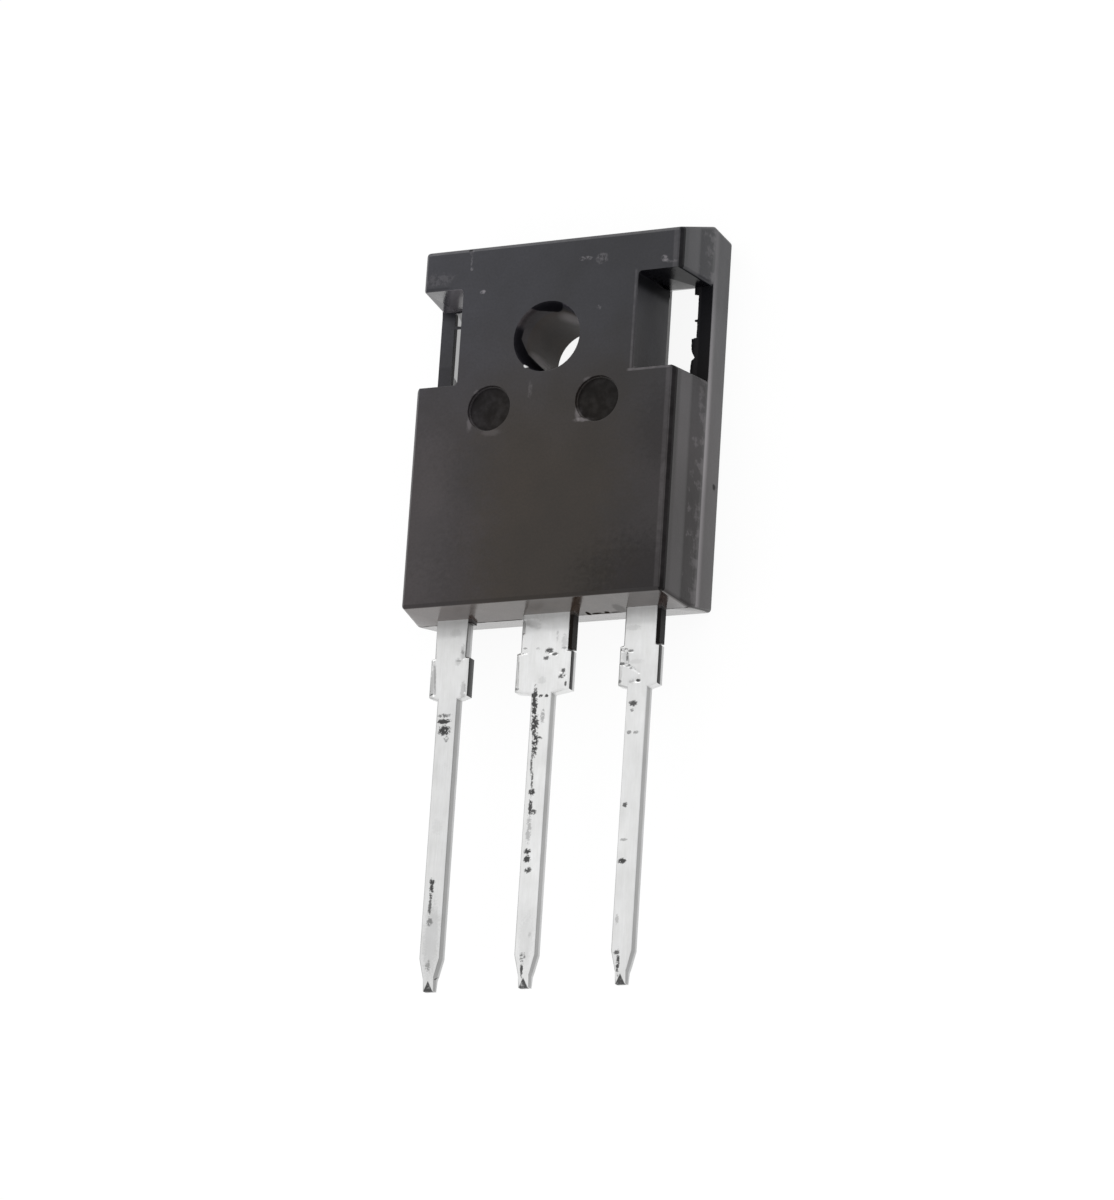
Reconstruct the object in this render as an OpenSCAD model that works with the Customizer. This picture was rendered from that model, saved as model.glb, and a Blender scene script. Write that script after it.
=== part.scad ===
// Three-lead power transistor in a moulded case with a through mounting hole.
// It lies on its flat back. X runs across the leads, +Y runs from the leads
// towards the top of the case, and +Z is the front.
// The origin is the centre of the mounting hole, on the back plane.

/* [Case] */
// Width of the case at its parting line
case_w = 15.86; // [15.2:0.02:17]
// Thickness of the case
case_t = 5; // [4.8:0.05:5.6]
// From the hole's centre to the top edge of the case
case_top = 6.27; // [5.6:0.05:7.5]
// From the hole's centre to the bottom edge of the case
case_bottom = 14.46; // [14.2:0.02:16]
// Height of the parting line along the sides and the top
parting_z = 1.95; // [1.6:0.05:2.3]
// How far each side wall leans in at the front
side_lean = 0.47; // [0.1:0.01:0.8]
// How far the top wall leans in at the front
top_lean = 1; // [0.2:0.05:1.4]
// How far the bottom wall leans in at the front
bottom_lean = 0.29; // [0.05:0.01:0.6]
// How far the top wall leans in at the back
back_top_lean = 0.2; // [0:0.05:0.5]
// How far the bottom wall leans in at the back
back_bottom_lean = 0.38; // [0:0.02:0.5]
// Width of the small slope along the front edges
front_edge = 0.16; // [0.05:0.01:0.3]

/* [Mounting hole] */
// Diameter of the hole for the screw
hole_d = 3.6; // [3.2:0.05:4]
// How much wider the hole's mouth is at the front
hole_mouth = 0.22; // [0.05:0.01:0.5]
// Depth of the widened mouth
hole_mouth_depth = 0.45; // [0.1:0.05:1]

/* [Side notches] */
// Length of each notch along the case
notch_l = 5.3; // [4:0.1:5.5]
// Height of the notch's middle above the hole's centre
notch_mid = 0.43; // [0:0.01:0.8]
// From the case's middle to a notch's inner wall, at the front
notch_in = 5.1; // [4.9:0.05:5.6]
// How far the inner wall leans out by the parting line
notch_lean = 0.36; // [0.1:0.01:0.6]
// How far a notch's end walls lean in by the parting line
notch_end_lean = 0.08; // [0:0.01:0.2]
// Width of the rail that closes each notch behind the parting line
rail_w = 0.8; // [0.7:0.02:1.2]
// How far the rail's inner face leans out at the back
rail_lean = 0.64; // [0.1:0.02:0.66]
// From the case's middle to the window's inner edge, at the back
window_in = 4.62; // [4.5:0.02:4.8]
// How far each window's end walls lean out by the back
window_end_lean = 0.7; // [0:0.05:0.8]

/* [Mould marks] */
// Diameter of the two round ejector marks
mark_d = 2.46; // [1.5:0.02:3]
// Depth of the ejector marks
mark_depth = 0.22; // [0.05:0.01:0.4]
// From the case's middle to each mark
mark_x = 3.12; // [2.5:0.02:4]
// From the hole's centre down to the marks
mark_y = 3.66; // [3.6:0.02:4.6]

/* [Leads] */
// Spacing of the leads
pitch = 5.44; // [5:0.02:5.6]
// Thickness of the lead stock
lead_t = 0.6; // [0.5:0.01:0.7]
// Height of the leads' underside above the back plane
lead_z = 2.4; // [2.2:0.05:2.6]
// Width of a lead's long, thin part
lead_w = 1.17; // [1:0.01:1.4]
// Width of an outer lead where it leaves the case
outer_root_w = 1.84; // [1.7:0.02:2.2]
// Width of the centre lead where it leaves the case
centre_root_w = 2.76; // [2.6:0.02:3.2]
// How far the cut tie-bar stub stands out on each side
stub_out = 0.2; // [0.02:0.01:0.3]
// From the hole's centre to the start of the stub
stub_start = 16.45; // [15.8:0.05:17]
// From the hole's centre to the end of the wide part
shoulder = 18.5; // [17.6:0.05:19.5]
// Drop of the sloped shoulder
shoulder_slope = 0.16; // [0.05:0.01:0.4]
// From the hole's centre to a lead's tip
lead_end = 34; // [24:0.1:36]
// Length of the pointed end
tip_l = 1.7; // [0.8:0.1:2.5]
// Width of a lead at its tip
tip_w = 0.6; // [0.3:0.02:0.8]
// Length of the even part at the very tip
tip_even = 0.6; // [0.2:0.05:0.7]
// How much thinner a lead is at its tip
tip_thin = 0.22; // [0:0.01:0.3]

/* [Collector plate] */
// Thickness of the copper plate
plate_t = 2; // [1.8:0.02:2.1]
// Width of the plate where it shows at the back
plate_w = 13.3; // [12.6:0.1:13.6]
// From the hole's centre to the plate's top edge
plate_top = 5.1; // [4.6:0.05:5.2]
// From the hole's centre to the plate's bottom edge
plate_bottom = 11.5; // [11.2:0.05:11.7]
// Slope across the plate's corners
plate_corner = 0.5; // [0.2:0.05:1]
// Wall of the case between the plate and each window
window_wall = 0.22; // [0.15:0.01:0.4]
// Diameter of the hole in the plate, which the case lines
plate_hole_d = 6.8; // [6.2:0.1:7]
// Height of the step round the plate that locks it into the case
lock_step = 0.7; // [0.5:0.05:1]
// How far the plate stands out above that step
lock_out = 0.25; // [0.1:0.05:0.3]
// Length of the ramp that lifts the centre lead off the plate
ramp_l = 1.1; // [0.8:0.05:1.3]

/* [Chips] */
// Width of the switch chip
switch_w = 7.4; // [5:0.1:8]
// Height of the switch chip along the case
switch_h = 6; // [4:0.1:6.2]
// Width of the diode chip
diode_w = 3.6; // [2.5:0.1:4]
// Height of the diode chip along the case
diode_h = 4.6; // [3:0.1:5.4]
// Thickness of both chips
chip_t = 0.14; // [0.08:0.01:0.3]
// Thickness of the solder under each chip
solder_t = 0.08; // [0.04:0.01:0.15]
// How far the solder runs out around a chip
solder_out = 0.15; // [0.05:0.01:0.3]

/* [Bond wires] */
// Diameter of the three thick wires
thick_wire_d = 0.4; // [0.3:0.01:0.5]
// Diameter of the gate wire
gate_wire_d = 0.16; // [0.1:0.01:0.25]
// Height of a thick wire's loop above its feet
thick_loop = 0.75; // [0.5:0.05:0.9]
// Height of the gate wire's loop above its feet
gate_loop = 0.6; // [0.4:0.05:0.8]
// Spacing of the thick wires
wire_step = 1.1; // [0.8:0.05:1.2]

/* [Hidden] */
$fn = 64;
// Overlap that lets one cut run into the next
eps = 0.01;
// Length that clears the whole case in a cut
clear = 40;

// Case, worked out from the sizes above
case_half = case_w / 2;
front_half = case_half - side_lean;
front_top = case_top - top_lean;
front_bottom = case_bottom - bottom_lean;
bottom_parting_z = lead_z;
back_top = case_top - back_top_lean;
back_bottom = case_bottom - back_bottom_lean;

// Notches and windows
notch_top = notch_mid + notch_l / 2;
notch_bottom = notch_mid - notch_l / 2;
window_top = notch_top - notch_end_lean;
window_bottom = notch_bottom + notch_end_lean;
rail_in = case_half - rail_w;
window_side = notch_in + notch_lean / 2;

// Leads
lead_top_z = lead_z + lead_t;
tip_start = lead_end - tip_l;
tip_half_l = tip_l / 2;
stub_slope = 0.06;
post_in = 2.1;
post_w = 3.5;
post_depth = case_bottom - post_in;
post_shift = 0.55;
post_bottom_in = 0.25;
lock_hole_d = 0.8;
lock_hole_in = 0.85;
lock_hole_y = lock_hole_in - case_bottom;

// Webs of resin that stayed between the leads and their cut tie bar
web_w = 0.2;
web_gap = 0.1;
web_short_l = 0.15;
web_long = stub_start - web_gap;
web_short = case_bottom + web_short_l;

// Plate
plate_half = plate_w / 2;
plate_waist = window_in - window_wall;
waist_top = window_top + window_end_lean + window_wall;
waist_bottom = window_bottom - window_end_lean - window_wall;
ramp_offset = 0.15;
ramp_start = plate_bottom + ramp_offset;
ramp_end = ramp_start + ramp_l;
lead_overlap = 0.8;
lead_start = plate_bottom - lead_overlap;

// Chips: both lie on the plate between its hole and its bottom edge
solder_top = plate_t + solder_t;
chip_top = solder_top + chip_t;
chip_y = -(plate_hole_d / 2 + plate_bottom) / 2;
chip_gap = 0.9;
chips_w = switch_w + chip_gap + diode_w;
switch_x = -chips_w / 2 + switch_w / 2;
diode_x = chips_w / 2 - diode_w / 2;

// Wire feet
foot_l = 1.3;
foot_t = 0.34;
foot_spread = 1.4;
foot_shift = 0.16;
gate_foot_l = 0.42;
gate_foot_t = 0.14;
post_x = pitch + post_shift;
wire_post_in = 1.55;
wire_post_y = wire_post_in - case_bottom;
wire_stagger = 0.8;
wire_lift = 0.42;
switch_foot_shift = 1.3;
switch_foot_x = switch_x + switch_foot_shift;
gate_post_shift = 0.35;
gate_pad_x = 0.8;
gate_pad_y = 0.55;
gate_post = [gate_post_shift - post_x, wire_post_y, lead_top_z];
gate_pad = [switch_x - switch_w / 2 + gate_pad_x, chip_y - switch_h / 2 + gate_pad_y, chip_top];

// A solid whose outline across the leads is drawn in X and Z
module across(points, from_y, to_y) {
    translate([0, to_y, 0]) rotate([90, 0, 0]) linear_extrude(to_y - from_y) polygon(points);
}

// A solid whose outline along the leads is drawn in Y and Z
module along(points, half_w) {
    rotate([90, 0, 90]) translate([0, 0, -half_w]) linear_extrude(2 * half_w) polygon(points);
}

module both_sides() {
    children();
    mirror([1, 0, 0]) children();
}

// Outer block of the case, with its draft and the small slope round the front
module case_block() {
    side_at_slope = front_half + side_lean * front_edge / (case_t - parting_z);
    top_at_slope = front_top + top_lean * front_edge / (case_t - parting_z);
    bottom_at_slope = front_bottom + bottom_lean * front_edge / (case_t - bottom_parting_z);
    intersection() {
        across([[-case_half, 0], [case_half, 0], [case_half, parting_z],
                [side_at_slope, case_t - front_edge], [front_half - front_edge, case_t],
                [-front_half + front_edge, case_t], [-side_at_slope, case_t - front_edge],
                [-case_half, parting_z]], -case_bottom, case_top);
        along([[-back_bottom, 0], [back_top, 0], [case_top, parting_z],
               [top_at_slope, case_t - front_edge], [front_top - front_edge, case_t],
               [-front_bottom + front_edge, case_t], [-bottom_at_slope, case_t - front_edge],
               [-case_bottom, bottom_parting_z]], case_half);
    }
}

// Front part of the right notch, open to the side and to the front
module notch_front() {
    intersection() {
        across([[notch_in + notch_lean, parting_z], [clear, parting_z], [clear, clear],
                [notch_in, clear], [notch_in, case_t]], -clear, clear);
        along([[window_bottom, parting_z], [window_top, parting_z],
               [notch_top, case_t], [notch_top, clear], [notch_bottom, clear],
               [notch_bottom, case_t]], clear);
    }
}

// Window behind the right notch, between the plate's cover and the rail
module notch_window() {
    intersection() {
        across([[window_in, -eps], [rail_in + rail_lean, -eps], [rail_in, parting_z + eps],
                [window_side, parting_z + eps]], -clear, clear);
        along([[window_bottom - window_end_lean, -eps], [window_top + window_end_lean, -eps],
               [window_top, parting_z + eps], [window_bottom, parting_z + eps]], clear);
    }
}

module mounting_bore() {
    translate([0, 0, -eps]) cylinder(h = case_t + 2 * eps, d = hole_d);
    translate([0, 0, case_t - hole_mouth_depth])
        cylinder(h = hole_mouth_depth + eps, d1 = hole_d, d2 = hole_d + hole_mouth);
}

module ejector_mark() {
    translate([mark_x, -mark_y, case_t - mark_depth]) cylinder(h = mark_depth + eps, d = mark_d);
}

// One web of resin beside a lead, from inside the case to a given distance
module resin_web(edge_x, to_y) {
    translate([edge_x, -to_y, lead_z]) cube([web_w, to_y - front_bottom, lead_t]);
}

module mould_body() {
    color("#3a3838") difference() {
        union() {
            case_block();
            resin_web(centre_root_w / 2, web_long);
            resin_web(pitch + outer_root_w / 2, web_long);
            resin_web(-pitch + outer_root_w / 2, web_short);
        }
        both_sides() {
            notch_front();
            notch_window();
            ejector_mark();
        }
        mounting_bore();
        plate_shape();
        outer_lead_shape();
        mirror([1, 0, 0]) outer_lead_shape();
        solder_shape(switch_x, switch_w, switch_h);
        solder_shape(diode_x, diode_w, diode_h);
        chip_shape(switch_x, switch_w, switch_h);
        chip_shape(diode_x, diode_w, diode_h);
        gate_wire_shape();
        for (row = [0 : 2]) emitter_wire_shape(row);
    }
}

// Plan outline of what shows of one lead, from inside the case to its tip
function lead_outline(root_w, in_y) = let (
    root = root_w / 2, stub = root + stub_out, thin = lead_w / 2, tip = tip_w / 2
) [
    [-root, in_y], [-root, -stub_start + stub_slope], [-stub, -stub_start], [-stub, -shoulder],
    [-thin, -shoulder - shoulder_slope], [-thin, -tip_start], [-tip, -lead_end + tip_even],
    [-tip, -lead_end], [tip, -lead_end], [tip, -lead_end + tip_even], [thin, -tip_start],
    [thin, -shoulder - shoulder_slope], [stub, -shoulder], [stub, -stub_start],
    [root, -stub_start + stub_slope], [root, in_y]
];

// Side outline of a straight lead, with its coined tip
function lead_side(in_y) = [
    [in_y, lead_z], [in_y, lead_top_z], [-tip_start - tip_half_l, lead_top_z],
    [-lead_end, lead_top_z - tip_thin / 2], [-lead_end, lead_z + tip_thin / 2],
    [-tip_start - tip_half_l, lead_z]
];

// Lead on the +X side, with its wire post and locking hole inside the case
module outer_lead_shape() {
    post_bottom = post_bottom_in - front_bottom;
    difference() {
        union() {
            intersection() {
                translate([pitch, 0, 0]) linear_extrude(clear)
                    polygon(lead_outline(outer_root_w, post_bottom + eps));
                along(lead_side(post_bottom + eps), clear);
            }
            translate([pitch + post_shift - post_w / 2, post_bottom, lead_z])
                cube([post_w, -post_depth - post_bottom, lead_t]);
        }
        translate([pitch, lock_hole_y, 0]) cylinder(h = clear, d = lock_hole_d);
    }
}

module gate_lead() {
    color("#d4d5d3") mirror([1, 0, 0]) outer_lead_shape();
}

module emitter_lead() {
    color("#d4d5d3") outer_lead_shape();
}

// One side of the plate's outline, from its bottom edge to its top edge
function plate_side(grow) = let (
    wide = plate_half + grow, waist = plate_waist + grow, bottom = -plate_bottom - grow,
    top = plate_top + grow, cut = plate_corner
) [
    [wide - cut, bottom], [wide, bottom + cut], [wide, waist_bottom + grow],
    [waist, waist_bottom + grow], [waist, waist_top - grow], [wide, waist_top - grow],
    [wide, top - cut], [wide - cut, top]
];

// Plan outline of the plate, with a waist between the two windows
module plate_outline(grow) {
    right = plate_side(grow);
    last = len(right) - 1;
    difference() {
        polygon(concat(right, [for (i = [0 : last]) [-right[last - i][0], right[last - i][1]]]));
        circle(d = plate_hole_d - 2 * grow);
    }
}

// Copper plate with its locking step, and the centre lead as one piece with it
module plate_shape() {
    linear_extrude(lock_step + eps) plate_outline(0);
    translate([0, 0, lock_step]) linear_extrude(plate_t - lock_step) plate_outline(lock_out);
    intersection() {
        linear_extrude(clear) polygon(lead_outline(centre_root_w, -lead_start));
        along([[-lead_start, plate_t - lead_t], [-lead_start, plate_t],
               [-ramp_start, plate_t], [-ramp_end, lead_top_z],
               [-tip_start - tip_half_l, lead_top_z],
               [-lead_end, lead_top_z - tip_thin / 2], [-lead_end, lead_z + tip_thin / 2],
               [-tip_start - tip_half_l, lead_z], [-ramp_end - ramp_offset, lead_z],
               [-ramp_start - ramp_offset, plate_t - lead_t]], clear);
    }
}

module collector_plate() {
    color("#c9c5bd") plate_shape();
}

module solder_shape(x, w, h) {
    translate([x - w / 2 - solder_out, chip_y - h / 2 - solder_out, plate_t])
        cube([w + 2 * solder_out, h + 2 * solder_out, solder_t]);
}

module chip_shape(x, w, h) {
    translate([x - w / 2, chip_y - h / 2, solder_top]) cube([w, h, chip_t]);
}

module switch_solder() {
    color("#9b9a96") solder_shape(switch_x, switch_w, switch_h);
}

module diode_solder() {
    color("#9b9a96") solder_shape(diode_x, diode_w, diode_h);
}

module switch_chip() {
    color("#5d6470") chip_shape(switch_x, switch_w, switch_h);
}

module diode_chip() {
    color("#6b6f76") chip_shape(diode_x, diode_w, diode_h);
}

// A flattened wire foot, centred on a point of the surface that carries it
module foot(at, turn, length, thick, wide) {
    translate(at) rotate(turn) translate([-length / 2, -wide / 2, 0]) cube([length, wide, thick]);
}

// A round wire bent to one arc between two points, rising by loop above their line
module wire_arc(a, b, loop, d) {
    flat = norm([b[0] - a[0], b[1] - a[1]]);
    chord = norm(b - a);
    radius = (chord * chord / 4 + loop * loop) / (2 * loop);
    half_angle = asin(chord / 2 / radius);
    turn = atan2(b[1] - a[1], b[0] - a[0]);
    tilt = atan2(b[2] - a[2], flat);
    translate(a) rotate([0, 0, turn]) rotate([0, -tilt, 0])
        translate([chord / 2, 0, loop - radius]) rotate([90, 0, 0])
            rotate([0, 0, 90 - half_angle]) rotate_extrude(angle = 2 * half_angle)
                translate([radius, 0]) circle(d = d, $fn = 32);
}

// Directions of a wire's arc, seen from above
function heading(a, b) = atan2(b[1] - a[1], b[0] - a[0]);

module gate_wire_shape() {
    up = [0, 0, gate_wire_d * wire_lift];
    turn = heading(gate_post, gate_pad);
    wide = gate_wire_d * foot_spread;
    foot(gate_post, turn, gate_foot_l, gate_foot_t, wide);
    wire_arc(gate_post + up, gate_pad + up, gate_loop, gate_wire_d);
    foot(gate_pad, turn, gate_foot_l, gate_foot_t, wide);
}

module gate_wire() {
    color("#dcdcd8") gate_wire_shape();
}

// One thick wire: post, diode and switch chip, joined by two arcs
module emitter_wire_shape(row) {
    side = row - 1;
    post = [post_x + side * wire_step, wire_post_y, lead_top_z];
    diode = [diode_x + side * wire_step, chip_y + side * wire_stagger, chip_top];
    chip = [switch_foot_x, chip_y + side * wire_step, chip_top];
    up = [0, 0, thick_wire_d * wire_lift];
    wide = thick_wire_d * foot_spread;
    on = heading(diode, chip);
    step = foot_shift * [cos(on), sin(on), 0];
    foot(post, heading(post, diode), foot_l, foot_t, wide);
    wire_arc(post + up, diode - step + up, thick_loop, thick_wire_d);
    foot(diode, on, foot_l, foot_t, wide);
    wire_arc(diode + step + up, chip + up, thick_loop, thick_wire_d);
    foot(chip, on, foot_l, foot_t, wide);
}

module emitter_wire_1() {
    color("#dcdcd8") emitter_wire_shape(0);
}

module emitter_wire_2() {
    color("#dcdcd8") emitter_wire_shape(1);
}

module emitter_wire_3() {
    color("#dcdcd8") emitter_wire_shape(2);
}

mould_body();
collector_plate();
gate_lead();
emitter_lead();
switch_chip();
diode_chip();
switch_solder();
diode_solder();
gate_wire();
emitter_wire_1();
emitter_wire_2();
emitter_wire_3();
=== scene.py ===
"""Looks of a three-lead power transistor that lies on its back on a pale floor."""
import math
import random
from types import SimpleNamespace

import bmesh
import bpy
from mathutils import Matrix, Vector
from mathutils.bvhtree import BVHTree


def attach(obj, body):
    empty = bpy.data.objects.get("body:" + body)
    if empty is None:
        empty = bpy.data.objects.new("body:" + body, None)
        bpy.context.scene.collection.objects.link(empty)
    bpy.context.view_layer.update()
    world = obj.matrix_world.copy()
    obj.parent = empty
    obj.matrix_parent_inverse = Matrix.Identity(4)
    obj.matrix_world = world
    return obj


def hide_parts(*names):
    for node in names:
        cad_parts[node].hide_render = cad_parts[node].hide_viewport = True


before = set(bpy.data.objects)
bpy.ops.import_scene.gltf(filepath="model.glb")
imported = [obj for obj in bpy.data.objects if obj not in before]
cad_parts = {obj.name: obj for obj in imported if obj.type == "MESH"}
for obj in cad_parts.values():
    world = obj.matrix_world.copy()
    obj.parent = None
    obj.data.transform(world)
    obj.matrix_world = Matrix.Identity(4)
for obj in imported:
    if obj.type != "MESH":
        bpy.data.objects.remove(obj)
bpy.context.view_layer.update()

MM = 0.001
scene = bpy.context.scene

# Camera: place and axes in the row frame, in millimetres, and the lens for a 36 mm sensor
CAMERA_AT = (121.837, -87.778, 236.551)
CAMERA_RIGHT = (0.8937, 0.0624, -0.4443)
CAMERA_UP = (0.0670, 0.9606, 0.2698)
CAMERA_BACK = (0.4436, -0.2709, 0.8543)
CAMERA_LENS = 171.905
CAMERA_CLIP = 0.01

# Light
WORLD_LEVEL = 0.88
KEY_AT = (-0.30, 0.42, 0.34)
KEY_TARGET = (0, -0.012, 0)
KEY_SIZE = 0.3
KEY_POWER = 0.5
FLOOR_COLOUR = (0.8, 0.8, 0.8, 1)
FLOOR_GLOW = 0.86
FLOOR_LEVEL = 1.06
FLOOR_HALF = 3.0
FLOOR_DROP = 0.00002

# Sizes of the part that the looks depend on, in millimetres
PARTING_Z = 1.95
FRONT_Z = 5.0
LEAD_Z = 2.4
LEAD_TOP_Z = 3.0
PITCH = 5.44
CASE_HALF = 7.93
FRONT_HALF = 7.46
CASE_BOTTOM = -14.46
STUB_START = -16.45
SHOULDER = -18.5
MARK_X = 3.12
MARK_Y = 3.66

# Pale scuffs on the front: place, half sizes, strength
FRONT_SCUFFS = (
    ((-4.75, 5.05), (0.12, 0.16), 0.07),
    ((-4.72, 4.6), (0.06, 0.5), 0.05),
    ((-4.68, 4.14), (0.09, 0.09), 0.08),
    ((-3.93, 2.79), (0.16, 0.1), 0.16),
    ((2.05, 4.07), (0.34, 0.12), 0.09),
    ((2.92, 3.98), (0.3, 0.26), 0.06),
    ((6.56, 3.61), (0.2, 0.16), 0.12),
    ((6.9, 3.44), (0.35, 0.09), 0.05),
    ((2.93, 1.3), (0.14, 0.12), 0.05),
    ((-6.66, 3.73), (0.9, 0.35), 0.03),
    ((-0.77, -2.89), (0.12, 0.5), 0.03),
)

# Painted light in the hole, and paler places round the ejector marks: place, half sizes, strength
BORE_PAINTED_LIGHTS = (
    ((0.15, 1.78, 2.45), (0.5, 0.3, 0.9), 0.3),
    ((0.9, 1.6, 2.7), (0.6, 0.5, 1.0), 0.05),
    ((-0.8, 1.6, 2.6), (1.2, 0.7, 1.4), 0.03),
    ((-1.77, -0.33, 2.2), (0.3, 0.26, 1.0), 0.24),
    ((-1.7, 0.5, 3.0), (0.4, 0.6, 1.2), 0.03),
)
# A small white spot on the hole's rim
RIM_WHITE_SPOT = (-1.1, -1.5, 4.97)
MARK_LIGHTS = (
    ((2.5, -4.72, 4.95), (0.5, 0.12, 0.2), 0.1),
    ((2.1, -4.35, 4.95), (0.16, 0.4, 0.2), 0.08),
    ((2.55, -2.62, 5.0), (0.22, 0.14, 0.1), 0.05),
    ((-3.9, -2.75, 5.0), (0.16, 0.12, 0.1), 0.05),
    ((-4.2, -4.4, 4.95), (0.14, 0.4, 0.2), 0.05),
    ((-2.9, -5.0, 5.0), (0.5, 0.16, 0.2), 0.025),
)

# Dark nicks on the front: place, half sizes, strength
FRONT_NICKS = (
    ((-4.85, 5.24, 4.98), (0.13, 0.1, 0.12), 1.0),
    ((-6.9, 3.2, 5.0), (1.2, 0.07, 0.1), 0.35),
    ((3.4, -3.2, 5.0), (0.1, 0.3, 0.3), 0.6),
)
# Large areas of the front that are darker or paler: place, half sizes, how much
DARK_AREAS = (
    ((6.9, -5.4), (1.4, 2.4), 0.3),
    ((6.2, -13.4), (3.4, 2.4), 0.42),
)
PALE_AREAS = (
    ((-6.7, -9.0), (1.8, 3.6), 0.013),
    ((-6.7, -13.2), (1.6, 1.6), 0.006),
)
# Dark specks along the parting line of the bottom face: place across and up, half sizes, strength
SEAM_SPECKS = (
    ((2.2, 2.55), (0.12, 0.3), 1.0),
    ((2.68, 2.52), (0.3, 0.12), 0.9),
    ((3.25, 2.52), (0.16, 0.2), 0.95),
    ((3.75, 2.5), (0.3, 0.12), 0.6),
    ((4.15, 3.0), (0.3, 0.6), 0.45),
)
# Dark marks on the leads' fronts, and painted shade along the pressed grooves: place, half sizes,
# strength
LEAD_MARKS_AND_GROOVE_SHADE = (
    ((-5.56, -19.5), (0.36, 0.1), 0.7),
    ((-5.56, -19.82), (0.38, 0.13), 1.0),
    ((-5.48, -20.3), (0.34, 0.26), 1.0),
    ((-5.35, -20.75), (0.14, 0.16), 0.6),
    ((-5.3, -22.2), (0.18, 0.16), 0.12),
    ((-5.52, -25.4), (0.3, 0.3), 0.1),
    ((-5.56, -28.3), (0.15, 0.18), 1.0),
    ((-5.58, -28.8), (0.13, 0.4), 0.95),
    ((-5.6, -29.6), (0.09, 0.5), 0.75),
    ((-5.55, -30.4), (0.16, 0.22), 0.6),
    ((-5.5, -32.75), (0.14, 0.35), 0.5),
    ((0.3, -16.4), (0.22, 0.14), 0.85),
    ((0.62, -16.6), (0.18, 0.08), 0.75),
    ((0.16, -16.79), (0.18, 0.1), 0.75),
    ((1.18, -17.5), (0.14, 0.12), 0.8),
    ((1.12, -17.8), (0.2, 0.12), 0.8),
    ((-0.48, -18.72), (0.1, 0.1), 0.95),
    ((-0.02, -18.78), (0.12, 0.08), 0.9),
    ((0.32, -18.8), (0.1, 0.08), 0.9),
    ((-0.34, -19.2), (0.15, 0.9), 1.0),
    ((-0.26, -20.3), (0.2, 0.6), 1.0),
    ((-0.18, -21.2), (0.16, 0.7), 1.0),
    ((-0.02, -21.02), (0.24, 0.09), 0.9),
    ((0.17, -19.87), (0.12, 0.36), 0.5),
    ((-0.3, -22.3), (0.06, 0.7), 0.8),
    ((-0.2, -23.3), (0.06, 0.6), 0.8),
    ((-0.17, -23.85), (0.18, 0.16), 1.0),
    ((-0.2, -24.6), (0.1, 0.5), 0.9),
    ((-0.03, -24.9), (0.18, 0.14), 0.85),
    ((-0.22, -25.8), (0.16, 0.7), 0.45),
    ((-0.2, -26.95), (0.2, 0.14), 1.0),
    ((-0.2, -27.35), (0.18, 0.2), 1.0),
    ((-0.12, -27.94), (0.2, 0.16), 0.85),
    ((0.23, -31.3), (0.08, 0.15), 0.3),
    ((-0.1, -32.4), (0.15, 0.2), 0.7),
    ((-0.1, -33.0), (0.08, 0.5), 0.9),
    ((5.28, -19.5), (0.22, 0.16), 0.85),
    ((5.24, -19.85), (0.1, 0.1), 0.6),
    ((5.15, -21.01), (0.14, 0.1), 0.6),
    ((5.54, -21.03), (0.14, 0.09), 0.55),
    ((5.17, -24.8), (0.13, 0.13), 0.8),
    ((5.22, -26.6), (0.2, 0.08), 0.5),
    ((5.19, -27.7), (0.22, 0.14), 0.95),
    ((5.11, -30.7), (0.1, 0.25), 0.4),
    ((5.2, -32.4), (0.16, 0.12), 0.8),
    ((5.3, -32.9), (0.09, 0.6), 0.9),
    ((-1.45, -16.2), (0.16, 0.06), 0.6),
    ((-1.1, -16.2), (0.14, 0.05), 0.5),
    ((-0.35, -16.25), (0.12, 0.06), 0.4),
    ((1.15, -16.3), (0.14, 0.06), 0.4),
    ((0.72, -15.65), (0.07, 0.3), 0.3),
    ((-1.42, -18.35), (0.14, 0.07), 0.6),
    ((1.36, -18.2), (0.07, 0.16), 0.8),
    ((-6.45, -18.3), (0.12, 0.1), 0.8),
    ((-4.74, -16.15), (0.07, 0.12), 0.4),
    ((-4.93, -16.6), (0.16, 0.06), 0.4),
    ((4.55, -16.6), (0.24, 0.06), 0.7),
    ((4.95, -16.7), (0.2, 0.06), 0.6),
    ((4.5, -17.36), (0.22, 0.07), 0.7),
    ((4.85, -17.47), (0.16, 0.07), 0.6),
    ((5.1, -17.62), (0.16, 0.07), 0.55),
    ((4.78, -17.0), (0.06, 0.28), 0.6),
    ((4.42, -18.3), (0.14, 0.09), 0.6),
    ((5.48, -18.3), (0.12, 0.07), 0.9),
    ((5.1, -18.36), (0.2, 0.12), 0.35),
)
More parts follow.
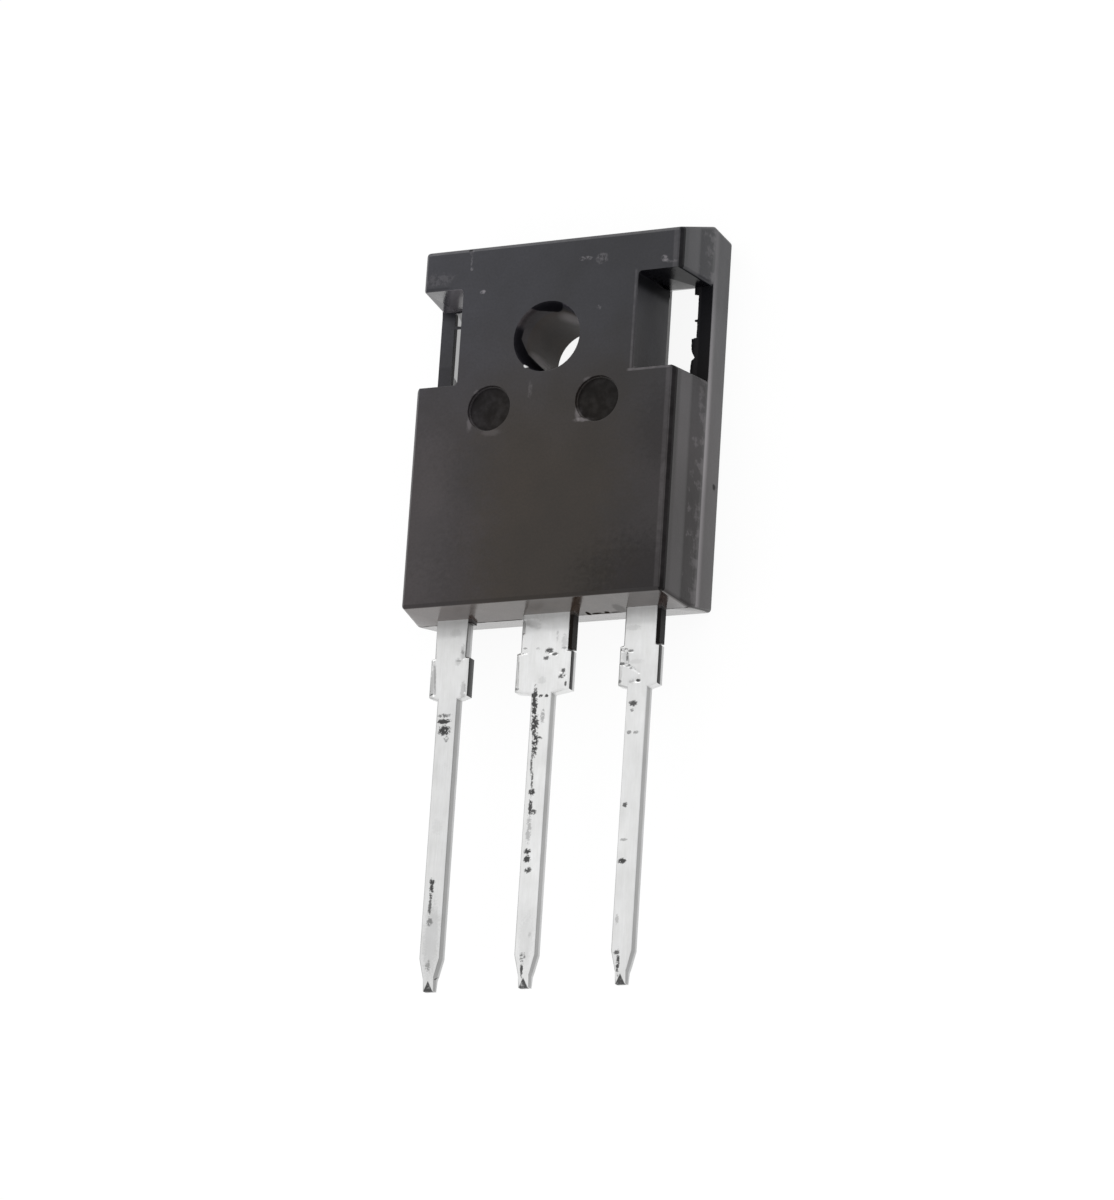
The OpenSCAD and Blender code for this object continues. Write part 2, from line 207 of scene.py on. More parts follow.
# Soft grey places on the leads' fronts, smudges and painted shade along the pressed grooves: place,
# half sizes, strength
LEAD_SMUDGES_AND_GROOVE_SHADE = (
    ((-6.36, -17.6), (0.16, 0.85), 0.5),
    ((-5.2, -15.1), (0.3, 0.2), 0.2),
    ((-4.72, -16.2), (0.12, 0.4), 0.4),
    ((-4.97, -16.65), (0.16, 0.2), 0.35),
    ((-4.55, -18.2), (0.14, 0.45), 0.4),
    ((-1.27, -15.0), (0.09, 0.5), 0.6),
    ((-0.75, -14.85), (0.5, 0.22), 0.3),
    ((-1.46, -17.3), (0.08, 1.2), 0.4),
    ((0.0, -17.95), (0.2, 0.2), 0.2),
    ((1.15, -16.0), (0.15, 0.4), 0.35),
    ((5.02, -15.5), (0.4, 0.14), 0.25),
    ((4.7, -16.95), (0.22, 0.3), 0.25),
    ((4.45, -18.0), (0.1, 0.5), 0.3),
    ((5.3, -17.3), (0.4, 0.12), 0.15),
    ((-5.5, -25.4), (0.3, 0.4), 0.12),
    ((-5.4, -31.2), (0.4, 1.8), 0.25),
    ((0.05, -31.5), (0.4, 1.2), 0.15),
)

# Grooves and dents pressed into the wide parts: from, to, half width, depth
GROOVES = {
    "gate_lead": (
        ((-6.4, -16.9), (-6.28, -18.3), 0.14, 0.05),
        ((-4.7, -16.1), (-4.66, -16.5), 0.06, 0.03),
        ((-4.52, -17.9), (-4.48, -18.3), 0.07, 0.03),
    ),
    "collector_plate": (
        ((-1.28, -14.7), (-1.24, -15.35), 0.1, 0.03),
        ((-1.1, -14.7), (-0.45, -15.0), 0.25, 0.012),
        ((-1.5, -16.5), (-0.95, -16.42), 0.05, 0.03),
        ((-1.45, -16.9), (-1.4, -18.3), 0.05, 0.03),
        ((0.2, -16.45), (0.75, -16.6), 0.08, 0.03),
        ((1.0, -17.5), (1.3, -17.75), 0.08, 0.03),
    ),
    "emitter_lead": (
        ((4.33, -16.62), (5.05, -16.72), 0.07, 0.05),
        ((4.33, -17.35), (4.75, -17.4), 0.07, 0.05),
        ((4.75, -17.4), (5.25, -17.72), 0.06, 0.045),
        ((5.25, -17.72), (5.5, -17.9), 0.06, 0.03),
        ((4.72, -16.75), (4.85, -17.3), 0.06, 0.04),
        ((5.15, -18.34), (5.5, -18.3), 0.13, 0.05),
    ),
}
GROOVE_BOXES = {
    "gate_lead": ((-6.6, -18.45), (-4.3, -16.0)),
    "collector_plate": ((-1.6, -18.45), (1.6, -14.6)),
    "emitter_lead": ((4.2, -18.45), (5.9, -16.4)),
}
# Spacing of the grid that carries them, and how far below the front a point of it may lie
GRID_STEP = 0.05
FRONT_SLACK = 0.06
SNAP = 1e-8

# Torn sheets of resin left in the windows, and a dark sheet at the top of the left window that stands
# for shade: outlines on the parting plane
FLASH_TOP_Z = 1.94
FLASH_BOTTOM_Z = 1.87
FLASH_STEP = 0.08
FLASH_SHAKE = 0.014
RIGHT_FLASH = (
    (7.35, 3.06), (6.87, 3.05), (6.89, 2.62), (7.12, 2.59), (7.14, 1.25), (6.97, 1.23),
    (6.98, 1.14), (7.12, 1.1), (7.12, 0.24), (6.85, 0.2), (6.87, -0.35), (6.95, -0.6),
    (7.08, -0.84), (6.9, -1.01), (6.86, -1.55), (6.88, -2.15), (7.35, -2.2),
)
LEFT_FLASH = ((-7.35, 2.22), (-6.7, 2.18), (-6.5, 2.12), (-6.62, 2.04), (-7.35, 2.02))
# A dark sheet at the top of the left window that stands for the shade under the notch's ceiling
TOP_LEFT_SHADE_SHEET = ((-7.35, 3.06), (-6.4, 3.06), (-6.55, 2.97), (-6.85, 2.93), (-7.35, 2.9))

# Edge rounding, in millimetres
BEVEL_FULL = 0.4
CORNER_ROUND = 0.2
EDGE_ROUND = 0.035
LEAD_SLOT_ROUND = 0.02
ROLLED_WIDE = 0.12
ROLLED_THIN = 0.08
PUNCHED_BACK = 0.03
# How near to a line of the part an edge still counts as on it, in millimetres
CORNER_REACH = 0.3
BOTTOM_REACH = 0.35
SLOT_REACH = 0.1
FRONT_REACH = 0.02
# How upright a corner is, as the share of its length along Z
UPRIGHT = 0.85
# How far outside an edge the rays start that look for other pieces, in millimetres
OPEN_START = 0.02
SHARP = math.radians(25)
FLAT = math.radians(1)
WELD = 1e-7
# Folds above this angle stay crisp between faces larger than BROAD, in square metres
CREASE = math.radians(8)
BROAD = 5e-7
ROUND = math.radians(38)
# Faces that overlap a box by less than this, in millimetres, only touch it
TOUCH = 0.002

# How a face lies: the part of its normal along an axis where a mask starts and where it is full,
# or from, to and softness
FACES_FRONT = (0.9, 0.97)
FACES_UP = (0.5, 0.9)
FACES_SIDE = (0.75, 0.9)
FACES_DOWN = (-0.75, -0.9)
FACES_CEILING = (-0.6, -0.9)
TURNED = (0.5, 0.8)
STANDS = (0.6, 0.4)
STEEP = (0.6, 0.3)
FOLD_TURN = (0.15, 0.4)
LEFT_FOLD_TURN = (-0.2, -0.4)
IN_BORE = (0.97, 0.85)
EDGE_TILT = (0.3, 0.93, 0.04)
ROLLED_TILT = (-0.95, -0.2, 0.1)
SHEARED_TILT = (0.6, 0.85)

# Places on the case, in millimetres: where a mask starts and is full, or from, to and softness
SIDE_FROM = (7.35, 7.4)
RIGHT_FROM = (-1.0, 1.0)
BOTTOM_BELOW = (-13.8, -13.9)
MIDDLE_SPAN = (-7.5, -2.0, 2.0)
LOW_BAND = (0.0, 1.9, 0.04)
MIDDLE_BAND = (2.1, 3.3, 0.15)
UPPER_BAND = (3.4, 4.35, 0.15)
LOW_SIDE_BELOW = (1.95, 1.85)
LOW_SIDE_ABOVE = (0.0, 3.0)
PARTING_ABOVE = (1.85, 2.0)
EDGE_ABOVE = (4.6, 4.8)
LOW_EDGE_BELOW = (-13.5, -13.8)
STRIP_ACROSS = (7.02, 7.27, 0.05)
SLOPE_HEIGHT = (4.66, 4.97, 0.03)
SLOPE_FROM = (7.2, 7.3)
WEB_BELOW = (-14.5, -14.6)
SEAM_HEIGHT = (2.36, 2.48, 0.06)
BOTTOM_LEFT = (1.0, -6.0)
MARK_SIZE = (1.25, 1.25, 0.6)
MARK_BELOW = (4.99, 4.9)
SIDE_NICK = ((7.86, -7.5, 0.5), (0.3, 0.17, 0.17))

# The same for the notches, their windows and their rails
NOTCH_SPAN = (-2.2, 3.05, 0.05)
RAIL_FROM = (5.7, 5.9)
RAIL_BELOW = (2.3, 2.1)
RAIL_TOP_END = (2.2, 2.9)
RAIL_LOW_END = (0.15, -0.15)
LEFT_WALL_FROM = (-7.0, -7.1)
LEFT_WALL_BELOW = (1.97, 1.93)
LEFT_WALL_UPPER = (1.05, 1.25)
LEFT_WALL_LOWER = (1.25, 1.05)
LEFT_WALL_END = (-0.25, -0.4)
WINDOW_BELOW = (1.98, 1.9)
WINDOW_ACROSS = (4.5, 7.8, 0.02)
WINDOW_SPAN = (-3.0, 3.9, 0.05)
CEILING_FROM = (4.6, 4.8)
CEILING_SPAN = (2.9, 3.8, 0.05)
FOLD_ACROSS = (4.85, 5.3, 0.03)
FOLD_SPAN = (2.95, 3.4, 0.03)
LEFT_FOLD_WITHIN = (6.0, 5.9)
LEFT_FOLD_FROM = (-4.5, -4.7)
LEFT_FOLD_SPAN = (2.8, 3.45, 0.03)
NOTCH_SHADE_ACROSS = (4.9, 5.6, 0.05)
NOTCH_SHADE_ABOVE = (1.9, 2.6)
NOTCH_EDGE_ACROSS = (4.9, 5.02, 0.03)
NOTCH_EDGE_SPAN = (-2.3, 3.15, 0.1)
NOTCH_FOOT_ACROSS = (4.8, 7.2, 0.1)
NOTCH_FOOT_SPAN = (-2.34, -2.2, 0.03)
WORN_AND_LIT_ABOVE = (4.9, 4.97)
LIT_EDGE = (0.22, -0.14)
# Slanting lines: the slope of each, and where it starts
NOTCH_WALL_LEAN = 0.118
LIT_LINE = (-0.6, 8.9)

# The hole, and the black crescents of painted shade at its top and left
BORE_SIZE = (2.0, 2.0, 90.0)
BROWN_BELOW = (4.0, 3.6)
BROWN_LEFT = (0.9, 0.3)
TOP_CRESCENT_MIDDLE = -0.1
TOP_CRESCENT_POWER = 1.5
TOP_CRESCENT_LINE = (1.6, 3.62)
TOP_CRESCENT_EDGE = (-0.15, 0.12)
TOP_CRESCENT_ABOVE = (1.15, 1.45)
TOP_CRESCENT_END = (0.95, 0.6)
LEFT_CRESCENT_FRONT = (4.3, 4.46)
LEFT_CRESCENT_TOP = (0.95, 0.45)
LEFT_CRESCENT_LINES = ((0.19, -1.06), (0.7, -2.86))
LEFT_CRESCENT_EDGE = (0.07, -0.07)
LEFT_CRESCENT_ACROSS = (0.0, -0.4)

# Colours of the epoxy, and a painted light falloff that makes it brighter on the left than on the
# right
COOL_EPOXY = (0.0215, 0.0215, 0.0275)
BROWN_EPOXY = (0.0215, 0.0145, 0.0092)
PLUM_EPOXY = (0.0235, 0.0185, 0.0192)
PALE_TINT = (1.03, 0.96, 1.01)
# The warm tint of the painted light on the bottom face
BOTTOM_LIGHT_TINT = (1.25, 0.9, 0.75)
WHITE_SPOT_SIZE = (0.13, 0.13, 0.16)
WHITE_SPOT_COLOUR = (0.8, 0.8, 0.8)
ACROSS_PAINTED_LIGHT = (-7.0, 7.0, 1.22, 0.74)
WARM_BELOW = (2.5, -7.0)
BROWN_MIDDLE = 0.8
PLUM_BESIDE = (2.0, 6.0)

# How much brightness the pale places add to the epoxy, from wear and from painted light. Four numbers
# are two limits of a mask, then what it gives at each, and a pair is what it gives at 0 and at 1
LOW_SIDE_PALE = (1.3, 1.8, 0.02, 0.15)
LOW_SIDE_ALONG = (4.5, -2.0, 0.35, 1.0)
LOW_SIDE_MIDDLE = (1.0, 1.4)
UPPER_BAND_PALE = (0.015, 0.036)
MIDDLE_BAND_PALE = 0.02
PARTING_BROKEN = (0.75, 1.0)
PARTING_PALE = 0.05
EDGE_PALE = (0.35, 0.65, 0.008, 0.03)
STRIP_PATCHES = (0.3, 0.6, 0.5, 1.0)
STRIP_PALE = 0.03
NOTCH_EDGE_SHARE = 0.5
NOTCH_PATCHES = (0.3, 0.6, 0.4, 1.0)
NOTCH_PALE = 0.08
LIT_PALE = (0.055, 0.035)
UNLIT_PALE = 0.14
BOTTOM_LEFT_PAINTED_LIGHT = (0.0, 0.016)
# Painted light on the bottom face: its middle, and how far the noise moves it
BOTTOM_PAINTED_LIGHT = (0.022, 0.024)
# Worn patches on the parting line: how they thin out upwards, and the limits of their mask
PARTING_CLIMB = -0.14
PARTING_PATCHES = (0.15, 0.3)

# How dark the dark places are kept, from 0 to 1, and the share of the colour that stays there. The
# rails, windows, ceilings and the hole's crescents are painted shade.
RAIL_SHADE = (0.15, 0.85)
RAIL_ENDS_SHADE = 0.5
RAIL_LOW_END_SHARE = 0.7
WINDOW_SHADE = 0.85
MARK_DARK = (0.35, 0.7, 0.85, 0.62)
CEILING_SHADE = 0.92
UNLIT_SHADE = 0.15
LOW_EDGE_DARK = 0.3
SEAM_PATCHES = (0.4, 0.55, 0.4, 1.0)
DARK_KEEPS = 0.3
NICK_KEEPS = 0.1
SHADE_CRESCENTS_KEEP = 0.9

# How uneven the epoxy is, and how brown its places are
CLOUD_SPREAD = 0.45
GRAIN_SPREAD = 0.4
# Painted light: how much brighter the hole's wall is
BORE_PAINTED_GAIN = 2.0
WARM_SPREAD = 3.0
PLUM_SPREAD = 2.0
WARM_LEFT = (0.0, 0.45)
WARM_IN_BORE = (0.9, 0.2)
WARM_IN_SHADE = 0.2
WARM_IN_WINDOW = 0.35
# Roughness: its middle and spread, and how much smoother the sides and walls are
EPOXY_ROUGH = (0.42, 0.06)
SIDE_POLISH = 0.1
WALL_POLISH = 0.28
# How much the epoxy mirrors on other faces and on the front
FRONT_SHINE = (0.5, 0.42)

# The leads: tones, a roughness with its spread, and places in millimetres as above
PLATE_TONE = 0.845
LEAD_TONE = 0.8
GATE_TONES = (0.955, 1.0)
# Painted shade on the leads' sides, with their sheared and torn parts
SHEARED_AND_SHADED_TONES = (0.7, 0.46)
RIGHT_SIDE_SHADE = 0.1
# Painted shade on the rolled left edges
ROLLED_SHADE = 0.72
ROOT_TONE = 0.83
DARK_PLACE_TONE = 0.07
DARK_PLACE_METAL = 0.4
DARK_PLACE_ROUGH = 0.25
TIN_ROUGH = (0.34, 0.08)
TORN_TIP_PAINTED_REFLECTION = 0.9
TORN_TIP_SLOPE = 0.5
COOL_TIN = (0.985, 0.99, 1.0)
WARM_TIN = (1.0, 1.0, 0.985)
GATE_SIDE = (-3.0, -2.8)
SHEAR_LINE = (2.58, 2.66)
TORN_HEIGHTS = (2.35, 2.62)
ROLLED_ABOVE = (2.8, 2.9)
ROOT_BAND = (-15.3, -14.4, 0.25)
GREY_PLACE_DEPTH = 0.6
TORN_TIP_Y = -33.42
TORN_TIP_ABOVE = (2.6, 2.7)


def make_camera():
    data = bpy.data.cameras.new("camera")
    data.sensor_fit = "HORIZONTAL"
    data.sensor_width = 36
    data.lens = CAMERA_LENS
    data.clip_start = CAMERA_CLIP
    camera = bpy.data.objects.new("camera", data)
    axes = Matrix((CAMERA_RIGHT, CAMERA_UP, CAMERA_BACK)).transposed()
    camera.matrix_world = Matrix.Translation(Vector(CAMERA_AT) * MM) @ axes.to_4x4()
    scene.collection.objects.link(camera)
    scene.camera = camera


class Tree:
    """Short ways to add shader nodes to one material."""

    def __init__(self, name):
        self.material = bpy.data.materials.new(name)
        self.material.use_nodes = True
        self.nodes = self.material.node_tree.nodes
        self.links = self.material.node_tree.links
        self.shader = self.nodes["Principled BSDF"]
        self.out = self.nodes["Material Output"]
        coordinates = self.nodes.new("ShaderNodeTexCoord")
        # The place on the object, in millimetres
        self.mm = self.vector("SCALE", coordinates.outputs["Object"], scale=1 / MM)
        axes = self.nodes.new("ShaderNodeSeparateXYZ")
        self.links.new(self.mm, axes.inputs[0])
        self.x, self.y, self.z = axes.outputs
        normal = self.nodes.new("ShaderNodeSeparateXYZ")
        self.links.new(coordinates.outputs["Normal"], normal.inputs[0])
        self.nx, self.ny, self.nz = normal.outputs

    def plug(self, socket, value):
        if isinstance(value, bpy.types.NodeSocket):
            self.links.new(value, socket)
        else:
            socket.default_value = value

    def set(self, name, value):
        self.plug(self.shader.inputs[name], value)

    def math(self, how, a, b=0.0, c=0.0):
        node = self.nodes.new("ShaderNodeMath")
        node.operation = how
        for socket, value in zip(node.inputs, (a, b, c)):
            self.plug(socket, value)
        return node.outputs[0]

    def times(self, *values):
        result = values[0]
        for value in values[1:]:
            result = self.math("MULTIPLY", result, value)
        return result

    def plus(self, *values):
        result = values[0]
        for value in values[1:]:
            result = self.math("ADD", result, value)
        return result

    def most(self, *values):
        result = values[0]
        for value in values[1:]:
            result = self.math("MAXIMUM", result, value)
        return result

    def vector(self, how, a, b=(0.0, 0.0, 0.0), scale=1.0):
        node = self.nodes.new("ShaderNodeVectorMath")
        node.operation = how
        self.plug(node.inputs[0], a)
        if how == "SCALE":
            self.plug(node.inputs["Scale"], scale)
        else:
            self.plug(node.inputs[1], b)
        return node.outputs["Vector"]

    def noise(self, scale, detail=3.0, rough=0.55, stretch=(1, 1, 1), offset=(0, 0, 0)):
        moved = self.vector("ADD", self.vector("MULTIPLY", self.mm, stretch), offset)
        node = self.nodes.new("ShaderNodeTexNoise")
        self.links.new(moved, node.inputs["Vector"])
        node.inputs["Scale"].default_value = scale
        node.inputs["Detail"].default_value = detail
        node.inputs["Roughness"].default_value = rough
        return node.outputs["Fac"]

    def step(self, value, low, high, to_low=0.0, to_high=1.0):
        """A smooth change from to_low to to_high as value goes from low to high."""
        node = self.nodes.new("ShaderNodeMapRange")
        node.interpolation_type = "SMOOTHSTEP"
        for socket, number in zip(node.inputs[:5], (value, low, high, to_low, to_high)):
            self.plug(socket, number)
        return node.outputs[0]

    def turn(self, mask, off, on):
        """A smooth change from off to on as the mask goes from 0 to 1."""
        return self.step(mask, 0.0, 1.0, off, on)

    def scaled(self, value, mask, factor):
        """The value, times factor where the mask is 1."""
        return self.times(value, self.turn(mask, 1.0, factor))

    def band(self, value, low, high, soft):
        """1 between low and high, falling to 0 over soft on each side."""
        rise = self.step(value, low - soft, low + soft)
        fall = self.step(value, high - soft, high + soft, 1.0, 0.0)
        return self.math("MULTIPLY", rise, fall)

    def mix(self, factor, a, b):
        node = self.nodes.new("ShaderNodeMix")
        node.data_type = "RGBA"
        self.plug(node.inputs["Factor"], factor)
        for socket, value in ((node.inputs[6], a), (node.inputs[7], b)):
            self.plug(socket, (*value, 1) if isinstance(value, tuple) else value)
        return node.outputs[2]

    def near(self, place, size, wobble=0.0, edge=0.3):
        """1 inside an uneven egg shape, whose place and half sizes are in millimetres."""
        offset = self.vector("DIVIDE", self.vector("SUBTRACT", self.mm, place), size)
        length = self.nodes.new("ShaderNodeVectorMath")
        length.operation = "LENGTH"
        self.links.new(offset, length.inputs[0])
        far = self.math("ADD", length.outputs["Value"], wobble)
        return self.step(far, 1 - edge, 1 + edge, 1.0, 0.0)

    def about(self, value, middle, spread):
        """Turns a noise value into middle, give or take spread."""
        return self.math("MULTIPLY_ADD", value, 2 * spread, middle - spread)

    def bump(self, height, distance, strength=1.0, under=None):
        node = self.nodes.new("ShaderNodeBump")
        node.inputs["Strength"].default_value = strength
        node.inputs["Distance"].default_value = distance * MM
        self.links.new(height, node.inputs["Height"])
        if under is not None:
            self.links.new(under, node.inputs["Normal"])
        return node.outputs["Normal"]


def floor_material():
    tree = Tree("floor_white")
    tree.set("Base Color", FLOOR_COLOUR)
    tree.set("Roughness", 1.0)
    tree.set("Specular IOR Level", 0.0)
    glow = tree.nodes.new("ShaderNodeEmission")
    glow.inputs["Strength"].default_value = FLOOR_LEVEL
    seen = tree.nodes.new("ShaderNodeLightPath")
    rays = [seen.outputs[f"Is {kind} Ray"] for kind in ("Camera", "Glossy", "Transmission")]
    share = tree.math("MULTIPLY", tree.most(*rays), FLOOR_GLOW)
    both = tree.nodes.new("ShaderNodeMixShader")
    tree.links.new(share, both.inputs[0])
    tree.links.new(tree.shader.outputs[0], both.inputs[1])
    tree.links.new(glow.outputs[0], both.inputs[2])
    tree.links.new(both.outputs[0], tree.out.inputs["Surface"])
    return tree.material


def make_floor():
    mesh = bpy.data.meshes.new("floor")
    corners = [(-1, -1), (1, -1), (1, 1), (-1, 1)]
    mesh.from_pydata([(x * FLOOR_HALF, y * FLOOR_HALF, 0) for x, y in corners], [], [(0, 1, 2, 3)])
    floor = bpy.data.objects.new("floor", mesh)
    floor.location.z = -FLOOR_DROP
    scene.collection.objects.link(floor)
    mesh.materials.append(floor_material())


def make_light():
    world = bpy.data.worlds.new("studio")
    scene.world = world
    world.use_nodes = True
    background = world.node_tree.nodes["Background"]
    background.inputs["Color"].default_value = (1, 1, 1, 1)
    background.inputs["Strength"].default_value = WORLD_LEVEL
    lamp = bpy.data.lights.new("key", "AREA")
    lamp.size = KEY_SIZE
    lamp.energy = KEY_POWER
    key = bpy.data.objects.new("key", lamp)
    key.location = KEY_AT
    aim = Vector(KEY_TARGET) - Vector(KEY_AT)
    key.rotation_euler = aim.to_track_quat("-Z", "Y").to_euler()
    scene.collection.objects.link(key)


def clean_bmesh(node):
    """The CAD node's shape, with its flat faces joined to whole polygons."""
    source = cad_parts[node].data
    mesh = bpy.data.meshes.new("clean")
    mesh.from_pydata([v.co for v in source.vertices], [], [p.vertices[:] for p in source.polygons])
    bm = bmesh.new()
    bm.from_mesh(mesh)
    bpy.data.meshes.remove(mesh)
    bmesh.ops.remove_doubles(bm, verts=bm.verts, dist=WELD)
    bmesh.ops.dissolve_limit(bm, angle_limit=FLAT, verts=bm.verts, edges=bm.edges)
    return bm


def whole_part_tree():
    """A search tree of every CAD node, which tells open edges from inner ones."""
    points, faces = [], []
    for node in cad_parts.values():
        start = len(points)
        points += [v.co.copy() for v in node.data.vertices]
        faces += [[start + i for i in p.vertices] for p in node.data.polygons]
    return BVHTree.FromPolygons(points, faces)


def is_open(edge, tree):
    """True where the edge can be seen from outside the part."""
    middle = (edge.verts[0].co + edge.verts[1].co) / 2
    normals = [face.normal for face in edge.link_faces]
    out = (normals[0] + normals[1]).normalized()
    start = middle + out * OPEN_START * MM
    return any(tree.ray_cast(start, way)[0] is None for way in (out, *normals))


def new_object(name, bm, material):
    mesh = bpy.data.meshes.new(name)
    bm.to_mesh(mesh)
    bm.free()
    piece = bpy.data.objects.new(name, mesh)
    scene.collection.objects.link(piece)
    mesh.materials.append(material)
    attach(piece, "root")
    return piece


def apply_modifiers(piece):
    """Replaces the piece's mesh by the result of its modifiers."""
    graph = bpy.context.evaluated_depsgraph_get()
    mesh = bpy.data.meshes.new_from_object(piece.evaluated_get(graph))
    old = piece.data
    piece.modifiers.clear()
    piece.data = mesh
    bpy.data.meshes.remove(old)
    mesh.name = piece.name


def smooth(piece):
    """Shades the piece smooth, apart from its sharp edges, with flat faces kept flat."""
    for face in piece.data.polygons:
        face.use_smooth = True
    bm = bmesh.new()
    bm.from_mesh(piece.data)
    for edge in bm.edges:
        if len(edge.link_faces) == 2:
            broad = min(face.calc_area() for face in edge.link_faces) > BROAD
            edge.smooth = edge.calc_face_angle() < (CREASE if broad else ROUND)
    bm.to_mesh(piece.data)
    bm.free()
    modifier = piece.modifiers.new("normals", "WEIGHTED_NORMAL")
    modifier.keep_sharp = True
    modifier.weight = 100


def round_edges(piece, width_of, segments, tree):
    """Rounds each sharp open edge by width_of(edge), in millimetres, where that isn't 0."""
    bm = bmesh.new()
    bm.from_mesh(piece.data)
    bm.normal_update()
    weights = bm.edges.layers.float.get("bevel_weight_edge")
    if weights is None:
        weights = bm.edges.layers.float.new("bevel_weight_edge")
    for edge in bm.edges:
        edge[weights] = 0
        if len(edge.link_faces) == 2 and edge.calc_face_angle() > SHARP and is_open(edge, tree):
            edge[weights] = width_of(edge) / BEVEL_FULL
    bm.to_mesh(piece.data)
    bm.free()
    bevel = piece.modifiers.new("bevel", "BEVEL")
    bevel.limit_method = "WEIGHT"
    bevel.width = BEVEL_FULL * MM
    bevel.segments = segments
    bevel.use_clamp_overlap = False
    apply_modifiers(piece)


def edge_place(edge):
    """An edge's middle in millimetres, and its direction."""
    a, b = (v.co / MM for v in edge.verts)
    return (a + b) / 2, (b - a).normalized()


def mould_corner_width(edge):
    """How far an upright corner of the case is rounded: not by the leads or in the windows."""
    middle, way = edge_place(edge)
    if abs(way.z) < UPRIGHT:
        return 0
    by_leads = middle.y < CASE_BOTTOM + CORNER_REACH and abs(middle.x) < FRONT_HALF - CORNER_REACH
    in_window = middle.z < PARTING_Z and abs(middle.x) < CASE_HALF - CORNER_REACH
    return 0 if by_leads or in_window else CORNER_ROUND


def mould_edge_width(edge):
    """How far the other edges of the case are rounded: less round the leads' slots."""
    middle = edge_place(edge)[0]
    at_slots = LEAD_Z - SLOT_REACH < middle.z < LEAD_TOP_Z + SLOT_REACH
    return LEAD_SLOT_ROUND if at_slots and middle.y < CASE_BOTTOM + BOTTOM_REACH else EDGE_ROUND


def metal_edge_width(edge):
    """Punched leads are rolled over along their front edges and nearly sharp behind."""
    middle = edge_place(edge)[0]
    if middle.z > LEAD_TOP_Z - FRONT_REACH:
        return ROLLED_WIDE if middle.y > SHOULDER - CORNER_REACH else ROLLED_THIN
    return PUNCHED_BACK


def overlaps(face, box):
    """True where a face's plan box reaches into a box, both in millimetres."""
    xs = [v.co.x / MM for v in face.verts]
    ys = [v.co.y / MM for v in face.verts]
    (x0, y0), (x1, y1) = box
    inside_x = min(xs) < x1 - TOUCH and max(xs) > x0 + TOUCH
    return inside_x and min(ys) < y1 - TOUCH and max(ys) > y0 + TOUCH


def cut_grid(bm, box):
    """Cuts the front faces inside a box into a fine grid, first along the box's own sides."""
    lines = []
    for axis in (1, 0):
        low, high = box[0][axis], box[1][axis]
        count = round((high - low) / GRID_STEP)
        steps = [low + (high - low) * i / count for i in range(count + 1)]
        lines.append([(axis, steps[0]), (axis, steps[-1])])
        lines.append([(axis, step) for step in steps[1:-1]])
    for group in (lines[0], lines[2], lines[1], lines[3]):
        faces = [f for f in bm.faces if f.normal.z > 0.5 and overlaps(f, box)]
        geometry = {g for f in faces for g in (f, *f.verts, *f.edges)}
        for axis, at in group:
            way = Vector((1 - axis, axis, 0))
            result = bmesh.ops.bisect_plane(
                bm, geom=list(geometry), dist=SNAP, plane_co=way * at * MM, plane_no=way
            )
            geometry = result["geom"]


def press_grooves(piece, grooves, box):
    """Presses soft-edged grooves into the front of a lead."""
    bm = bmesh.new()
    bm.from_mesh(piece.data)
    bm.normal_update()
    cut_grid(bm, box)
    for vert in bm.verts:
        place = vert.co / MM
        if place.z < LEAD_TOP_Z - FRONT_SLACK or not box[0][1] < place.y < box[1][1]:
            continue
        drop = 0
        for start, end, half, depth in grooves:
            a, b = Vector(start), Vector(end)
            along = (place.xy - a).dot(b - a) / (b - a).length_squared
            near = a + (b - a) * min(1, max(0, along))
            far = (place.xy - near).length / half
            drop = max(drop, depth * max(0, 1 - far * far))
        vert.co.z -= drop * MM
    bm.to_mesh(piece.data)
    bm.free()


def make_torn_sheet(name, outline, seed):
    """A thin torn sheet of resin whose first and last points lie inside the rail. The sheet at the top
    of the left window stands for shade.
    """
    shake = random.Random(seed)
    points = [Vector(outline[0])]
    for a, b in zip(outline, outline[1:]):
        a, b = Vector(a), Vector(b)
        count = max(1, round((b - a).length / FLASH_STEP))
        for i in range(1, count + 1):
            jolt = Vector((shake.uniform(-1, 1), shake.uniform(-1, 1))) * FLASH_SHAKE
            points.append(a.lerp(b, i / count) + (jolt if i < count else jolt * 0))
    bm = bmesh.new()
    top = [bm.verts.new((p.x * MM, p.y * MM, FLASH_TOP_Z * MM)) for p in points]
    under = [bm.verts.new((p.x * MM, p.y * MM, FLASH_BOTTOM_Z * MM)) for p in points]
    bm.faces.new(top)
    bm.faces.new(under[::-1])
    for i in range(len(points)):
        j = (i + 1) % len(points)
        bm.faces.new((top[j], top[i], under[i], under[j]))
    bmesh.ops.recalc_face_normals(bm, faces=bm.faces)
    bmesh.ops.triangulate(bm, faces=[f for f in bm.faces if len(f.verts) > 4])
    return new_object(name, bm, MOULD)


def replace_node(node, name, widths, material, tree):
    """A piece with rounded edges that stands for a CAD node."""
    piece = new_object(name, clean_bmesh(node), material)
    for width_of, segments in widths:
        round_edges(piece, width_of, segments, tree)
    if node in GROOVES:
        press_grooves(piece, GROOVES[node], GROOVE_BOXES[node])
    smooth(piece)
    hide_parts(node)
    return piece


